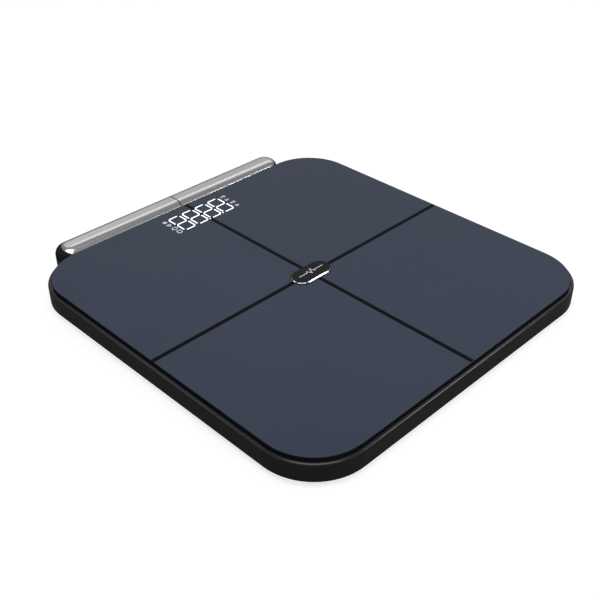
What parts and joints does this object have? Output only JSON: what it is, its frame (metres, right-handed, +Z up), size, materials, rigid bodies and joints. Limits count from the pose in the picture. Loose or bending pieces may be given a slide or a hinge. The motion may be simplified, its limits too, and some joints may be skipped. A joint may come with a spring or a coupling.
{
  "type": "bathroom scale",
  "caption": "Square glass-topped electronic bathroom scale with foot electrodes, lit figures and a lift-off grip bar on a spring-wound lead behind it.",
  "frame": {"origin": "middle of the whole object's base, on the floor under the feet", "axes": "+Z up, +Y from the user towards the grip bar, +X to the reader's right"},
  "size_m": [0.306, 0.3294, 0.0239],
  "materials": {
    "platform_glass": "tinted float glass, polished edge",
    "electrode_coating": "slate blue conductive coating, satin",
    "divider_print": "black ink behind glass",
    "foam_tape": "black foam",
    "badge_chrome": "polished",
    "badge_black": "piano black",
    "badge_silver": "satin print",
    "display_white": "lit white",
    "icon_white": "dimly lit white",
    "lightbox_white": "moulded",
    "circuit_board": "solder resist",
    "chip_black": "moulded",
    "housing_black": "fine moulded texture",
    "base_black": "moulded texture",
    "handle_black": "satin moulded",
    "grip_steel": "brushed lengthwise",
    "foot_rubber": "matte",
    "foot_plastic": "moulded",
    "cell_steel": "stamped",
    "sealant": "white silicone",
    "screw_steel": "zinc plated",
    "battery_skin": "plain printed sleeve",
    "contact_nickel": "nickel plated",
    "lead_black": "PVC sheath",
    "reel_plastic": "acetal",
    "lead_grommet_rubber": "soft",
    "axle_steel": "ground"
  },
  "bodies": {
    "base": {"glass_platform": "platform_glass", "electrode_front_left": "electrode_coating", "electrode_front_right": "electrode_coating", "electrode_rear_left": "electrode_coating", "electrode_rear_right": "electrode_coating", "divider_print": "divider_print", "glass_tape": "foam_tape", "badge_rim": "badge_chrome", "badge_plate": "badge_black", "badge_mark": "badge_silver", "display_digits": "display_white", "display_icons": "icon_white", "display_lightbox": "lightbox_white", "display_board": "circuit_board", "main_board": "circuit_board", "board_parts": "chip_black", "button_switch": "chip_black", "frame": "housing_black", "rear_dock": "housing_black", "base_cover": "base_black", "battery_bay": "base_black", "foot_pad_front_left": "foot_rubber", "foot_pad_front_right": "foot_rubber", "foot_pad_rear_left": "foot_rubber", "foot_pad_rear_right": "foot_rubber", "foot_cup_front_left": "foot_plastic", "foot_cup_front_right": "foot_plastic", "foot_cup_rear_left": "foot_plastic", "foot_cup_rear_right": "foot_plastic", "load_cell_front_left": "cell_steel", "load_cell_front_right": "cell_steel", "load_cell_rear_left": "cell_steel", "load_cell_rear_right": "cell_steel", "strain_gauges": "sealant", "cover_screws": "screw_steel", "board_screws": "screw_steel", "dock_screws": "screw_steel", "batteries": "battery_skin", "battery_contacts": "contact_nickel", "cell_leads": "lead_black", "lead_run": "lead_black", "reel_case": "reel_plastic", "reel_cover": "reel_plastic", "lead_guide": "reel_plastic", "lead_grommet": "lead_grommet_rubber", "reel_axle": "axle_steel"},
    "handle": {"handle_top": "handle_black", "handle_bottom": "handle_black", "grip_electrode_left": "grip_steel", "grip_electrode_right": "grip_steel", "finger_electrode_left": "grip_steel", "finger_electrode_right": "grip_steel", "lead_anchor": "reel_plastic", "handle_board": "circuit_board", "lead_riser": "lead_black"},
    "reel": {"reel_drum": "reel_plastic", "reel_spring": "axle_steel", "lead_winding": "lead_black"},
    "battery_door": {"battery_door": "base_black"},
    "unit_button": {"unit_button": "base_black"}
  },
  "joints": [
    {"name": "handle_lift", "type": "slide", "parent": "base", "child": "handle", "axis": [0, 0, 1], "range_m": [0, 0.9], "deforming": ["lead_riser"]},
    {"name": "reel_spin", "type": "hinge", "parent": "base", "child": "reel", "pos_m": [-0.021, 0.0683, 0.012], "axis": [0, 0, 1], "range_deg": [0, 2720]},
    {"name": "door_swing", "type": "hinge", "parent": "base", "child": "battery_door", "pos_m": [-0.04, -0.05, 0.0062], "axis": [1, 0, 0], "range_deg": [0, 95]},
    {"name": "unit_press", "type": "slide", "parent": "base", "child": "unit_button", "axis": [0, 0, 1], "range_m": [0, 0.0008], "stiffness_N_per_m": 400, "springref_m": -0.001}
  ],
  "couplings": [
    {"joint": "reel_spin", "follows": "handle_lift", "rad_per_m": 52.632}
  ]
}
